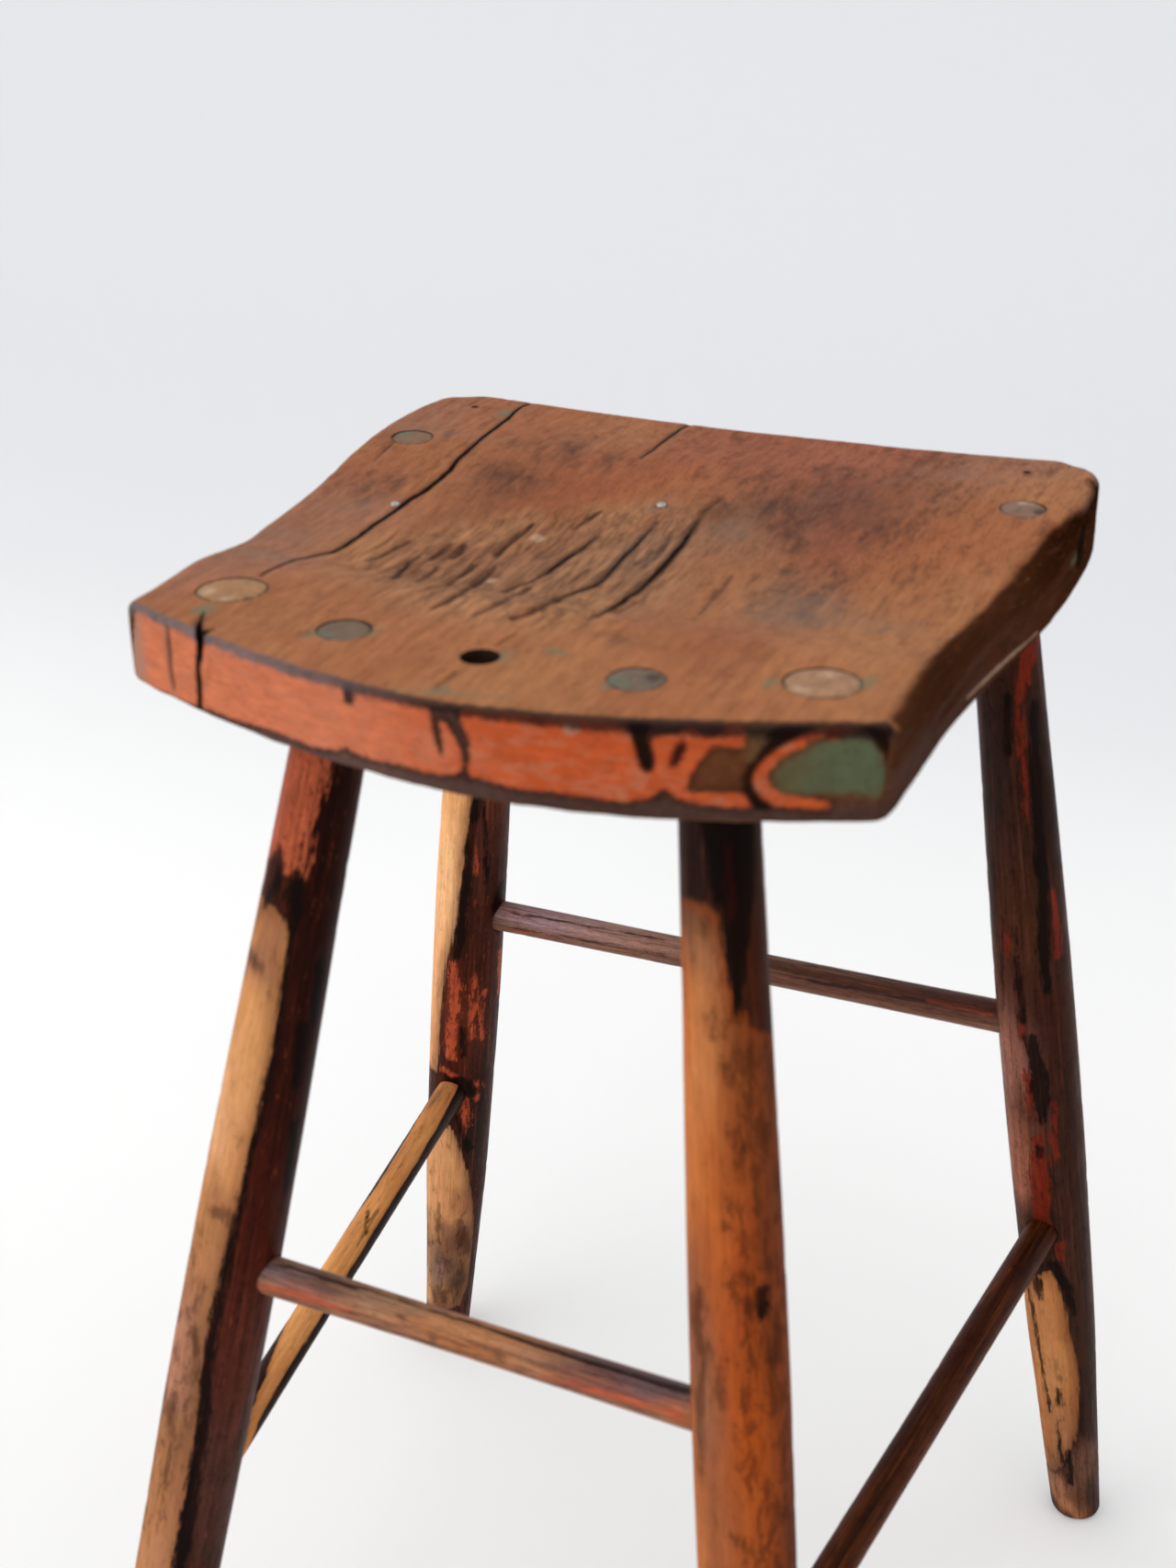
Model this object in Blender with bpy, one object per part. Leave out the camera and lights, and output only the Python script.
"""Wooden milking stool: a thick dished plank seat on four turned, splayed legs tied by four
round stretchers.

Frame: metres, +Z up, origin on the floor at the middle of the stool's bounding box.
-Y is the front: the bowed end of the plank with the row of sockets. +X is the right.
The grain of the plank runs along Y.
"""

import math

import bmesh
import bpy
from mathutils import Matrix, Vector
from mathutils.geometry import delaunay_2d_cdt

# ---------------------------------------------------------------- fits and cutters
FIT_GAP = 0.0003  # clearance left in every wood-to-wood fit
CUTTER_OVERRUN = 0.0120  # how far a socket cutter reaches out of the seat
SMOOTH_ANGLE = math.radians(35)  # edges sharper than this stay sharp

# ---------------------------------------------------------------- seat plank
SEAT_UNDER_Z = 0.5600
SEAT_THICKNESS = 0.0320

# plan; each *_Y pair is the stretch over which a change blends in or out
SEAT_FRONT_APEX_Y = -0.1536  # foremost point of the bowed front edge
SEAT_FRONT_BOW = 0.0405  # how far the front corners sit behind that point
SEAT_FRONT_BOW_POWER = 1.65
SEAT_BACK_Y = 0.1820
SEAT_HALF_WIDTH_FRONT = 0.1450
SEAT_HALF_WIDTH_BACK = 0.1600
SEAT_WIDEST_Y = 0.1300
SEAT_FLARE_Y = (-0.0600, SEAT_WIDEST_Y)
SEAT_BACK_TUCK = 0.0040  # how much the sides have pulled in again at SEAT_TUCK_Y
SEAT_TUCK_Y = 0.1720
SEAT_RIGHT_EXTRA = (0.0012, -0.0026)  # the right side's departure, front and back
SEAT_RIGHT_EXTRA_Y = (0.0400, 0.1500)
SEAT_LEFT_SWELL = 0.0022  # the left side swells a little behind its front corner
SEAT_LEFT_SWELL_IN_Y = (-0.1050, -0.0550)
SEAT_LEFT_SWELL_OUT_Y = (-0.0100, 0.0500)
CORNER_SETBACK_FRONT = 0.0048
CORNER_SETBACK_BACK = 0.0210

# segments along the outline
FRONT_SEGMENTS = 26
FLANK_SEGMENTS = 17
BACK_SEGMENTS = 14
FRONT_CORNER_SEGMENTS = 4
BACK_CORNER_SEGMENTS = 7

# the front end is sawn out of square: towards the right its foot stands forward
FRONT_LEAN = 0.0075
FRONT_LEAN_X = (-0.0300, 0.0900)
FRONT_LEAN_GAIN = 1.6  # the lean is full where the edge's forward normal exceeds 1 / this

# rounded edges
ARRIS_TOP_FRONT = 0.0026
ARRIS_TOP_SIDE = 0.0056
ARRIS_TOP_BACK = 0.0095
ARRIS_TOP_BACK_CORNER = 0.0040  # extra on the two back corners
ARRIS_TOP_DROP = 1.15  # height of the top arris over its width
ARRIS_TOP_STEPS = 3
ARRIS_UNDER = 0.0022
ARRIS_UNDER_RISE = 1.2  # height of the bottom chamfer over its width

# sitting face
DISH_DEPTH = 0.0100
DISH_IN_Y = (-0.0700, -0.0200)
DISH_OUT_Y = (0.0120, 0.1300)
DISH_EDGE_SHARE = 0.38  # share of the depth left at the side edges
REAR_RISE = 0.0035  # the back of the face is this much higher than the front strip
REAR_RISE_Y = (-0.0400, 0.1100)
REAR_SAG = 0.0034  # its middle is lower by this much towards the back edge
REAR_SAG_Y = (0.0800, 0.1800)

# staggered grid of points that carries the dished surface
GRID_STEP = 0.0125
GRID_MARGIN = 0.0065  # kept clear inside the rim
GRID_CORNER_MARGIN = 0.0060  # kept clear inside the back corners

# ---------------------------------------------------------------- plugs, sockets and nails
# (name, x, y, radius, depth); depth None goes right through
PLUGS = (
    ("post_plug_left", -0.1136, -0.0892, 0.0132, None),
    ("post_plug_right", 0.1130, -0.0900, 0.0132, None),
    ("spindle_plug_left", -0.0556, -0.1087, 0.0099, 0.0220),
    ("spindle_plug_right", 0.0553, -0.1102, 0.0100, 0.0220),
    ("rear_plug_left", -0.1382, 0.1008, 0.0092, 0.0220),
    ("rear_plug_right", 0.1350, 0.1044, 0.0092, 0.0220),
)
PLUG_CHAMFER = 0.0006
PLUG_TOP_ZONE = 0.0040  # vertices this close to the face follow its slope
THROUGH_PLUG_RECESS = 0.0002  # a through plug ends this far above the underside
THROUGH_BORE_OVERRUN = 0.0100

OPEN_SOCKET = (-0.0008, -0.1128, 0.0070, 0.0240)  # x, y, radius, depth; between the spindle plugs
SIDE_SOCKET = (0.1130, 0.5785, 0.0066, 0.0110)  # y, z, radius, depth; in the right edge

# flush nails in the sitting face: (name, x, y)
NAILS = (
    ("set_nail_left", -0.1118, 0.0343),
    ("set_nail_centre", -0.0064, 0.0690),
)
NAIL_HEAD_RADIUS = 0.0022
NAIL_HEAD_THICKNESS = 0.0011
NAIL_HEAD_CHAMFER = (0.0004, 0.0003)  # inwards, downwards
NAIL_SHANK_RADIUS = 0.0012
NAIL_TIP_RADIUS = 0.0004
NAIL_POINT_LENGTH = 0.0030
NAIL_LENGTH = 0.0150
NAIL_CUTTER_OVERRUN = 0.0060

# ---------------------------------------------------------------- legs
# name: (x, y) of the axis at the floor and at LEG_REF_Z
LEG_REF_Z = 0.5850
LEGS = {
    "leg_front_left": ((-0.1589, -0.1996), (-0.0727, -0.0707)),
    "leg_front_right": ((0.1495, -0.1946), (0.0747, -0.0874)),
    "leg_back_left": ((-0.1927, 0.1975), (-0.1206, 0.1501)),
    "leg_back_right": ((0.1927, 0.1996), (0.1117, 0.1557)),
}
# turned profile: (share of the axis up to LEG_REF_Z, radius)
LEG_PROFILE = (
    (0.00, 0.0129), (0.06, 0.0142), (0.14, 0.0158), (0.22, 0.0175), (0.32, 0.0182),
    (0.45, 0.0188), (0.60, 0.0184), (0.80, 0.0159), (0.94, 0.0144), (1.00, 0.0139),
)
LEG_TIP_Z = 0.5815  # the shoulderless round top stands this high in its blind socket
LEG_TIP_CHAMFER = 0.0012
LEG_SPARE = 0.0200  # length below the floor, sawn off
LEG_SEGMENTS = 15
FOOT_ROUND = 0.0022

# ---------------------------------------------------------------- stretchers
# (name, from leg, to leg, height at each, radius at both ends, radius in the middle)
STRETCHERS = (
    ("stretcher_front", "leg_front_left", "leg_front_right", 0.3137, 0.3137, 0.0083, 0.0077),
    ("stretcher_back", "leg_back_left", "leg_back_right", 0.3137, 0.3137, 0.0083, 0.0078),
    ("stretcher_left", "leg_front_left", "leg_back_left", 0.1966, 0.1983, 0.0082, 0.0080),
    ("stretcher_right", "leg_front_right", "leg_back_right", 0.1989, 0.1989, 0.0081, 0.0079),
)
STRETCHER_STOP = 0.0030  # each end stops this far short of the leg's axis
STRETCHER_CHAMFER = 0.0010
STRETCHER_END_EASE = 0.0001  # the radius is this much less at the chamfer's inner end
STRETCHER_SEGMENTS = 9
STRETCHER_CUTTER_END = 0.0420  # from the leg's axis

LEG_SIDES = 24
STRETCHER_SIDES = 16
BORE_SIDES = 24
NAIL_SIDES = 16


# ---------------------------------------------------------------- numbers
def smoothstep(start, end, value):
    t = min(1.0, max(0.0, (value - start) / (end - start)))
    return t * t * (3.0 - 2.0 * t)


def lerp(start, end, t):
    return start + (end - start) * t


def bezier(start, control, end, segments):
    """Quadratic Bezier curve without its last point."""
    points = []
    for k in range(segments):
        t = k / segments
        points.append(start * (1 - t) ** 2 + control * (2 * t * (1 - t)) + end * t * t)
    return points


# ---------------------------------------------------------------- scene and solids
def clear_scene():
    for obj in list(bpy.data.objects):
        bpy.data.objects.remove(obj, do_unlink=True)


def material(name, colour, roughness, metallic=0.0):
    mat = bpy.data.materials.new(name)
    mat.use_nodes = True
    inputs = mat.node_tree.nodes["Principled BSDF"].inputs
    inputs["Base Color"].default_value = (*colour, 1.0)
    inputs["Roughness"].default_value = roughness
    inputs["Metallic"].default_value = metallic
    return mat


def add_object(name, bm):
    mesh = bpy.data.meshes.new(name)
    bm.to_mesh(mesh)
    bm.free()
    obj = bpy.data.objects.new(name, mesh)
    bpy.context.scene.collection.objects.link(obj)
    return obj


def add_piece(name, bm, mat):
    obj = add_object(name, bm)
    obj.data.materials.append(mat)
    obj.data.shade_smooth()
    obj.data.set_sharp_from_angle(angle=SMOOTH_ANGLE)
    return obj


def add_cutter(name, bm):
    obj = add_object(name, bm)
    obj.hide_render = True
    obj.display_type = "WIRE"
    return obj


def subtract(target, tool):
    modifier = target.modifiers.new("cut_" + tool.name, "BOOLEAN")
    modifier.operation = "DIFFERENCE"
    modifier.solver = "EXACT"
    modifier.object = tool


def axis_frame(origin, direction):
    """Right-handed frame at origin with Z along direction, which must not be parallel to Y."""
    z = direction.normalized()
    x = Vector((0, 1, 0)).cross(z)
    x.normalize()
    frame = Matrix((x, z.cross(x), z)).transposed().to_4x4()
    frame.translation = origin
    return frame


def upright_frame(x, y):
    return Matrix.Translation((x, y, 0))


def lathe(stations, sides, frame):
    """Closed turned solid about the frame's Z; stations are (distance along Z, radius)."""
    bm = bmesh.new()
    rings = []
    for distance, radius in stations:
        ring = []
        for k in range(sides):
            angle = 2 * math.pi * k / sides
            local = Vector((radius * math.cos(angle), radius * math.sin(angle), distance))
            ring.append(bm.verts.new(frame @ local))
        rings.append(ring)
    for low, high in zip(rings, rings[1:]):
        for k in range(sides):
            n = (k + 1) % sides
            bm.faces.new((low[k], low[n], high[n], high[k]))
    bm.faces.new(list(reversed(rings[0])))
    bm.faces.new(rings[-1])
    bm.normal_update()
    return bm


# ---------------------------------------------------------------- seat shape
def front_edge(x):
    share = abs(x) / SEAT_HALF_WIDTH_FRONT
    return SEAT_FRONT_APEX_Y + SEAT_FRONT_BOW * share**SEAT_FRONT_BOW_POWER


def half_width(y, side):
    """Plan width from the middle to the left (side -1) or right (side 1) edge."""
    width = lerp(SEAT_HALF_WIDTH_FRONT, SEAT_HALF_WIDTH_BACK, smoothstep(*SEAT_FLARE_Y, y))
    if y > SEAT_WIDEST_Y:
        width -= SEAT_BACK_TUCK * ((y - SEAT_WIDEST_Y) / (SEAT_TUCK_Y - SEAT_WIDEST_Y)) ** 2
    if side > 0:
        return width + lerp(*SEAT_RIGHT_EXTRA, smoothstep(*SEAT_RIGHT_EXTRA_Y, y))
    swell_in = smoothstep(*SEAT_LEFT_SWELL_IN_Y, y)
    swell_out = smoothstep(*SEAT_LEFT_SWELL_OUT_Y, y)
    return width + SEAT_LEFT_SWELL * swell_in * (1 - swell_out)


def seat_top(x, y):
    """Height of the sitting face."""
    rise = REAR_RISE * smoothstep(*REAR_RISE_Y, y)
    dish = DISH_DEPTH * smoothstep(*DISH_IN_Y, y) * (1 - smoothstep(*DISH_OUT_Y, y))
    across = 1 - (1 - DISH_EDGE_SHARE) * min(1.0, abs(x) / SEAT_HALF_WIDTH_BACK) ** 2
    sag = REAR_SAG * smoothstep(*REAR_SAG_Y, y) * (1 - (x / SEAT_HALF_WIDTH_BACK) ** 2)
    return SEAT_UNDER_Z + SEAT_THICKNESS + rise - dish * across - sag


def seat_corners(side):
    """x and y of the unrounded front corner, and x of the back corner, on one side."""
    front_x = side * half_width(front_edge(SEAT_HALF_WIDTH_FRONT), side)
    return front_x, front_edge(front_x), side * half_width(SEAT_BACK_Y, side)


def flank(side, corner_y):
    """One side edge from front to back, between its corner roundings."""
    points = []
    for k in range(FLANK_SEGMENTS + 1):
        start, end = corner_y + CORNER_SETBACK_FRONT, SEAT_BACK_Y - CORNER_SETBACK_BACK
        y = lerp(start, end, k / FLANK_SEGMENTS)
        points.append(Vector((side * half_width(y, side), y)))
    return points


def seat_outline():
    """Plan outline, counter-clockwise from the left end of the front edge."""
    left_x, left_y, back_left_x = seat_corners(-1)
    right_x, right_y, back_right_x = seat_corners(1)
    front = []
    for k in range(FRONT_SEGMENTS + 1):
        start, end = left_x + CORNER_SETBACK_FRONT, right_x - CORNER_SETBACK_FRONT
        x = lerp(start, end, k / FRONT_SEGMENTS)
        front.append(Vector((x, front_edge(x))))
    back = []
    for k in range(BACK_SEGMENTS + 1):
        start, end = back_right_x - CORNER_SETBACK_BACK, back_left_x + CORNER_SETBACK_BACK
        back.append(Vector((lerp(start, end, k / BACK_SEGMENTS), SEAT_BACK_Y)))
    edges = (front, flank(1, right_y), back, flank(-1, left_y)[::-1])
    # the corner that follows each edge: (place, segments)
    corners = (
        ((right_x, right_y), FRONT_CORNER_SEGMENTS),
        ((back_right_x, SEAT_BACK_Y), BACK_CORNER_SEGMENTS),
        ((back_left_x, SEAT_BACK_Y), BACK_CORNER_SEGMENTS),
        ((left_x, left_y), FRONT_CORNER_SEGMENTS),
    )
    outline = []
    for k, (corner, segments) in enumerate(corners):
        edge, following = edges[k], edges[(k + 1) % 4]
        outline += edge[:-1]
        outline += bezier(edge[-1], Vector(corner), following[0], segments)
    return outline


def outward_normals(points):
    normals = []
    for k in range(len(points)):
        tangent = (points[(k + 1) % len(points)] - points[k - 1]).normalized()
        normals.append(Vector((tangent.y, -tangent.x)))
    return normals


def arris_width(normal):
    """Width of the rounded top edge where the outline faces along normal."""
    side = normal.x * normal.x
    end = normal.y * normal.y
    if normal.y > 0:
        corner = ARRIS_TOP_BACK_CORNER * 4 * side * end
        return ARRIS_TOP_SIDE * side + ARRIS_TOP_BACK * end + corner
    return ARRIS_TOP_SIDE * side + ARRIS_TOP_FRONT * end


def front_lean(x, normal):
    """Shift in y of the bottom of the plank's edge."""
    if normal.y >= 0:
        return 0.0
    facing = min(1.0, -FRONT_LEAN_GAIN * normal.y)
    return -FRONT_LEAN * smoothstep(*FRONT_LEAN_X, x) * facing


def on_grid(x, y):
    """Whether a grid point lies well inside the rim of the sitting face."""
    if abs(x) > half_width(y, 1 if x > 0 else -1) - ARRIS_TOP_SIDE - GRID_MARGIN:
        return False
    if y < front_edge(x) + ARRIS_TOP_FRONT + GRID_MARGIN:
        return False
    if y > SEAT_BACK_Y - ARRIS_TOP_BACK - GRID_MARGIN:
        return False
    corner_x = SEAT_HALF_WIDTH_BACK - CORNER_SETBACK_BACK - GRID_CORNER_MARGIN
    corner_y = SEAT_BACK_Y - CORNER_SETBACK_BACK - GRID_CORNER_MARGIN
    return not (abs(x) > corner_x and y > corner_y)


def grid_points():
    columns = int(SEAT_HALF_WIDTH_BACK / GRID_STEP) + 1
    first_row = int(SEAT_FRONT_APEX_Y / GRID_STEP) - 1
    last_row = int(SEAT_BACK_Y / GRID_STEP) + 1
    points = []
    for j in range(first_row, last_row + 1):
        shift = 0.5 * GRID_STEP * (j % 2)
        for i in range(-columns, columns + 1):
            x, y = i * GRID_STEP + shift, j * GRID_STEP
            if on_grid(x, y):
                points.append(Vector((x, y)))
    return points


def add_sitting_face(bm, rim):
    """Triangulate the face in plan, raise it, and return its rim vertices in outline order."""
    count = len(rim)
    edges = [(k, (k + 1) % count) for k in range(count)]
    points, _, faces, _, _, _ = delaunay_2d_cdt(
        rim + grid_points(), edges, [list(range(count))], 1, 1e-7
    )
    top = [bm.verts.new((p.x, p.y, seat_top(p.x, p.y))) for p in points]
    for face in faces:
        bm.faces.new([top[i] for i in face])
    bm.normal_update()
    for face in bm.faces:
        if face.normal.z < 0:
            face.normal_flip()

    def nearest(point):
        return min(top, key=lambda v: (v.co.x - point.x) ** 2 + (v.co.y - point.y) ** 2)

    return [nearest(point) for point in rim]


def build_seat(mat):
    outline = seat_outline()
    normals = outward_normals(outline)
    widths = [arris_width(normal) for normal in normals]
    bm = bmesh.new()
    rim = [p - normal * width for p, normal, width in zip(outline, normals, widths)]
    rings = [add_sitting_face(bm, rim)]
    # rounded top edge
    for k in range(1, ARRIS_TOP_STEPS + 1):
        angle = math.radians(90 / ARRIS_TOP_STEPS * k)
        ring = []
        for p, normal, width in zip(outline, normals, widths):
            q = p - normal * (width * (1 - math.sin(angle)))
            z = seat_top(q.x, q.y) - ARRIS_TOP_DROP * width * (1 - math.cos(angle))
            ring.append(bm.verts.new((q.x, q.y, z)))
        rings.append(ring)
    # chamfered bottom edge: (height, inset)
    chamfer = (
        (SEAT_UNDER_Z + ARRIS_UNDER_RISE * ARRIS_UNDER, 0.0),
        (SEAT_UNDER_Z, ARRIS_UNDER),
    )
    for z, inset in chamfer:
        ring = []
        for p, normal in zip(outline, normals):
            q = p - normal * inset
            ring.append(bm.verts.new((q.x, q.y + front_lean(q.x, normal), z)))
        rings.append(ring)
    for high, low in zip(rings, rings[1:]):
        for k in range(len(outline)):
            n = (k + 1) % len(outline)
            bm.faces.new((high[k], low[k], low[n], high[n]))
    bm.faces.new(list(reversed(rings[-1])))
    return add_piece("seat_plank", bm, mat)


# ---------------------------------------------------------------- plugs, sockets and nails
def bore(name, x, y, radius, depth):
    """Vertical cutter; depth is measured from the sitting face, None goes right through."""
    face = seat_top(x, y)
    bottom = SEAT_UNDER_Z - THROUGH_BORE_OVERRUN if depth is None else face - depth
    stations = [(bottom, radius), (face + CUTTER_OVERRUN, radius)]
    return add_cutter(name, lathe(stations, BORE_SIDES, upright_frame(x, y)))


def build_plug(name, x, y, radius, depth, mat):
    face = seat_top(x, y)
    if depth is None:
        bottom = SEAT_UNDER_Z + THROUGH_PLUG_RECESS
    else:
        bottom = face - depth + FIT_GAP
    stations = [
        (bottom, radius - PLUG_CHAMFER),
        (bottom + PLUG_CHAMFER, radius),
        (face - PLUG_CHAMFER, radius),
        (face, radius - PLUG_CHAMFER),
    ]
    bm = lathe(stations, BORE_SIDES, upright_frame(x, y))
    # shear the top to lie level with the dished face around it
    for vert in bm.verts:
        if vert.co.z > face - PLUG_TOP_ZONE:
            vert.co.z += seat_top(vert.co.x, vert.co.y) - face
    add_piece(name, bm, mat)


def side_socket_cutter():
    y, z, radius, depth = SIDE_SOCKET
    bottom = Vector((half_width(y, 1) - depth, y, z))
    stations = [(0.0, radius), (depth + CUTTER_OVERRUN, radius)]
    frame = axis_frame(bottom, Vector((1, 0, 0)))
    return add_cutter("bore_side", lathe(stations, BORE_SIDES, frame))


def build_nail(name, x, y, mat):
    face = seat_top(x, y)
    tip = face - NAIL_LENGTH
    under_head = face - NAIL_HEAD_THICKNESS
    inwards, downwards = NAIL_HEAD_CHAMFER
    stations = [
        (tip, NAIL_TIP_RADIUS),
        (tip + NAIL_POINT_LENGTH, NAIL_SHANK_RADIUS),
        (under_head, NAIL_SHANK_RADIUS),
        (under_head, NAIL_HEAD_RADIUS),
        (face - downwards, NAIL_HEAD_RADIUS),
        (face, NAIL_HEAD_RADIUS - inwards),
    ]
    add_piece(name, lathe(stations, NAIL_SIDES, upright_frame(x, y)), mat)


def nail_hole(name, x, y):
    face = seat_top(x, y)
    under_head = face - NAIL_HEAD_THICKNESS - FIT_GAP
    stations = [
        (face - NAIL_LENGTH - FIT_GAP, NAIL_SHANK_RADIUS + FIT_GAP),
        (under_head, NAIL_SHANK_RADIUS + FIT_GAP),
        (under_head, NAIL_HEAD_RADIUS + FIT_GAP),
        (face + NAIL_CUTTER_OVERRUN, NAIL_HEAD_RADIUS + FIT_GAP),
    ]
    return add_cutter("hole_" + name, lathe(stations, NAIL_SIDES, upright_frame(x, y)))


# ---------------------------------------------------------------- legs
def leg_point(leg, z):
    """Point on a leg's axis at height z."""
    foot, ref = LEGS[leg]
    t = z / LEG_REF_Z
    return Vector((lerp(foot[0], ref[0], t), lerp(foot[1], ref[1], t), z))


def leg_frame(leg):
    """Frame along a leg's axis from the floor, and the axis's length up to LEG_REF_Z."""
    axis = leg_point(leg, LEG_REF_Z) - leg_point(leg, 0.0)
    return axis_frame(leg_point(leg, 0.0), axis), axis.length


def profile_slope(k):
    before, after = max(0, k - 1), min(len(LEG_PROFILE) - 1, k + 1)
    (u0, r0), (u1, r1) = LEG_PROFILE[before], LEG_PROFILE[after]
    return (r1 - r0) / (u1 - u0)


def leg_radius(share):
    """Cubic Hermite interpolation of LEG_PROFILE, for 0 <= share < 1."""
    k = max(i for i in range(len(LEG_PROFILE) - 1) if LEG_PROFILE[i][0] <= share)
    (u0, r0), (u1, r1) = LEG_PROFILE[k], LEG_PROFILE[k + 1]
    span = u1 - u0
    t = (share - u0) / span
    return (
        (2 * t**3 - 3 * t**2 + 1) * r0
        + (t**3 - 2 * t**2 + t) * span * profile_slope(k)
        + (-2 * t**3 + 3 * t**2) * r1
        + (t**3 - t**2) * span * profile_slope(k + 1)
    )


def saw_foot(bm):
    """Saw the leg level with the floor and close it with a sole; round the sole's rim."""
    cut = bmesh.ops.bisect_plane(
        bm,
        geom=bm.verts[:] + bm.edges[:] + bm.faces[:],
        plane_co=(0, 0, 0),
        plane_no=(0, 0, -1),
        clear_outer=True,
    )
    rim = [e for e in cut["geom_cut"] if isinstance(e, bmesh.types.BMEdge)]
    bmesh.ops.edgeloop_fill(bm, edges=rim)
    bm.normal_update()
    sole = [
        f for f in bm.faces if abs(f.normal.z) > 0.999 and f.calc_center_median().z < 1e-4
    ]
    for face in sole:
        if face.normal.z > 0:
            face.normal_flip()
    bmesh.ops.bevel(
        bm,
        geom=[e for f in sole for e in f.edges],
        offset=FOOT_ROUND,
        segments=2,
        profile=0.5,
        affect="EDGES",
        clamp_overlap=True,
    )


def build_leg(leg, mat):
    frame, length = leg_frame(leg)
    tip = length * LEG_TIP_Z / LEG_REF_Z
    stations = [(-LEG_SPARE, LEG_PROFILE[0][1])]
    for k in range(LEG_SEGMENTS):
        distance = tip * k / LEG_SEGMENTS
        stations.append((distance, leg_radius(distance / length)))
    tip_radius = leg_radius(tip / length)
    stations += [(tip - LEG_TIP_CHAMFER, tip_radius), (tip, tip_radius - LEG_TIP_CHAMFER)]
    bm = lathe(stations, LEG_SIDES, frame)
    saw_foot(bm)
    return add_piece(leg, bm, mat)


def leg_socket(leg):
    """Cutter for the tapered blind socket in the seat's underside."""
    frame, length = leg_frame(leg)
    tip = length * LEG_TIP_Z / LEG_REF_Z
    low = length * (SEAT_UNDER_Z - CUTTER_OVERRUN) / LEG_REF_Z
    stations = [
        (low, leg_radius(low / length) + FIT_GAP),
        (tip + FIT_GAP, leg_radius(tip / length) + FIT_GAP),
    ]
    return add_cutter("socket_" + leg, lathe(stations, LEG_SIDES, frame))


# ---------------------------------------------------------------- stretchers
def build_stretcher(name, start, end, end_radius, middle_radius, mat):
    low, high = STRETCHER_STOP, (end - start).length - STRETCHER_STOP
    face_radius = end_radius - STRETCHER_CHAMFER
    eased_radius = end_radius - STRETCHER_END_EASE
    stations = [(low, face_radius), (low + STRETCHER_CHAMFER, eased_radius)]
    for k in range(1, STRETCHER_SEGMENTS):
        t = k / STRETCHER_SEGMENTS
        radius = lerp(end_radius, middle_radius, math.sin(math.pi * t))
        stations.append((lerp(low, high, t), radius))
    stations += [(high - STRETCHER_CHAMFER, eased_radius), (high, face_radius)]
    add_piece(name, lathe(stations, STRETCHER_SIDES, axis_frame(start, end - start)), mat)


def stretcher_socket(name, origin, direction, end_radius):
    """Cutter for the hole in a leg, from near its axis at origin out along the stretcher."""
    radius = end_radius + FIT_GAP
    stations = [(STRETCHER_STOP - FIT_GAP, radius), (STRETCHER_CUTTER_END, radius)]
    frame = axis_frame(origin, direction)
    return add_cutter(name, lathe(stations, STRETCHER_SIDES, frame))


# ---------------------------------------------------------------- assembly
def main():
    clear_scene()
    seat_wood = material("seat_wood", colour=(0.235, 0.085, 0.036), roughness=0.55)
    leg_wood = material("leg_wood", colour=(0.215, 0.055, 0.025), roughness=0.45)
    stretcher_wood = material("stretcher_wood", colour=(0.190, 0.075, 0.035), roughness=0.48)
    plug_wood = material("plug_wood", colour=(0.235, 0.120, 0.075), roughness=0.6)
    iron = material("nail_iron", colour=(0.32, 0.30, 0.31), roughness=0.4, metallic=0.9)

    seat = build_seat(seat_wood)
    legs = {}
    for leg in LEGS:
        legs[leg] = build_leg(leg, leg_wood)
        subtract(seat, leg_socket(leg))
    for name, leg_a, leg_b, z_a, z_b, end_radius, middle_radius in STRETCHERS:
        a, b = leg_point(leg_a, z_a), leg_point(leg_b, z_b)
        build_stretcher(name, a, b, end_radius, middle_radius, stretcher_wood)
        for leg, origin, direction in ((leg_a, a, b - a), (leg_b, b, a - b)):
            tool = stretcher_socket(f"socket_{name}_{leg}", origin, direction, end_radius)
            subtract(legs[leg], tool)
    for name, x, y, radius, depth in PLUGS:
        build_plug(name, x, y, radius, depth, plug_wood)
        subtract(seat, bore("bore_" + name, x, y, radius + FIT_GAP, depth))
    subtract(seat, bore("bore_open", *OPEN_SOCKET))
    subtract(seat, side_socket_cutter())
    for name, x, y in NAILS:
        build_nail(name, x, y, iron)
        subtract(seat, nail_hole(name, x, y))


main()
